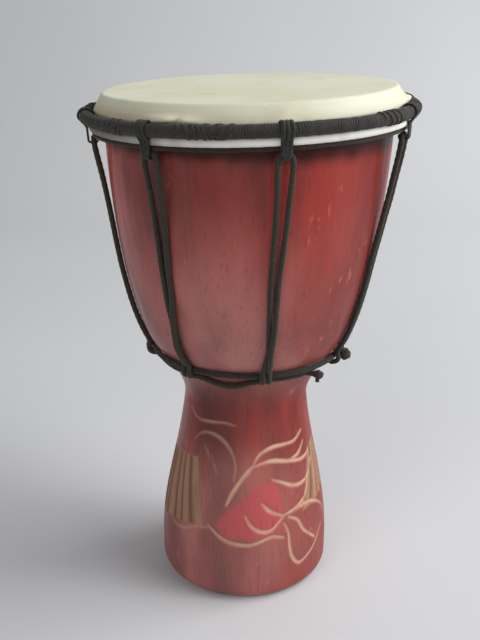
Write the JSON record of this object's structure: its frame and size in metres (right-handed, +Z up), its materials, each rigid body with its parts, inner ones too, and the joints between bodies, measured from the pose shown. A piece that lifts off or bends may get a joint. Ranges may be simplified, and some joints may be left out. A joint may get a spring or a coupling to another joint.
{
  "type": "djembe",
  "caption": "Small laced goblet drum: carved and red-lacquered wooden shell, rawhide head on wire hoops, black cord lacing in pairs from the crown hoop to the waist hoop.",
  "frame": {"origin": "centre of the drum's outline on the floor, under its axis", "axes": "+Z up along the shell's axis to the playing surface; -Y is the side with one strand pair near its middle and the carving; +X is the side with the two knots"},
  "size_m": [0.1875, 0.1887, 0.3031],
  "materials": {
    "lacquered_wood": "red stain under gloss lacquer, with pale carved grooves on the foot",
    "rawhide": "cream goat hide, dry and satin, slightly translucent",
    "hoop_wire": "plain steel wire",
    "black_cord": "thin black twisted cord",
    "crown_winding": "fuzzy black cord, wound by hand",
    "waist_winding": "black cord, wound tight",
    "lacing": "black braided cord"
  },
  "bodies": {
    "root": {"shell": "lacquered_wood", "drumhead": "rawhide", "flesh_hoop": "hoop_wire", "hem_cord": "black_cord", "crown_hoop": "hoop_wire", "crown_wrap": "crown_winding", "crown_loop_1": "black_cord", "crown_loop_2": "black_cord", "crown_loop_3": "black_cord", "crown_loop_4": "black_cord", "crown_loop_5": "black_cord", "crown_loop_6": "black_cord", "crown_loop_7": "black_cord", "waist_hoop": "hoop_wire", "waist_wrap": "waist_winding", "lacing_cord": "lacing", "upper_knot": "lacing", "lower_knot": "lacing"}
  },
  "joints": []
}
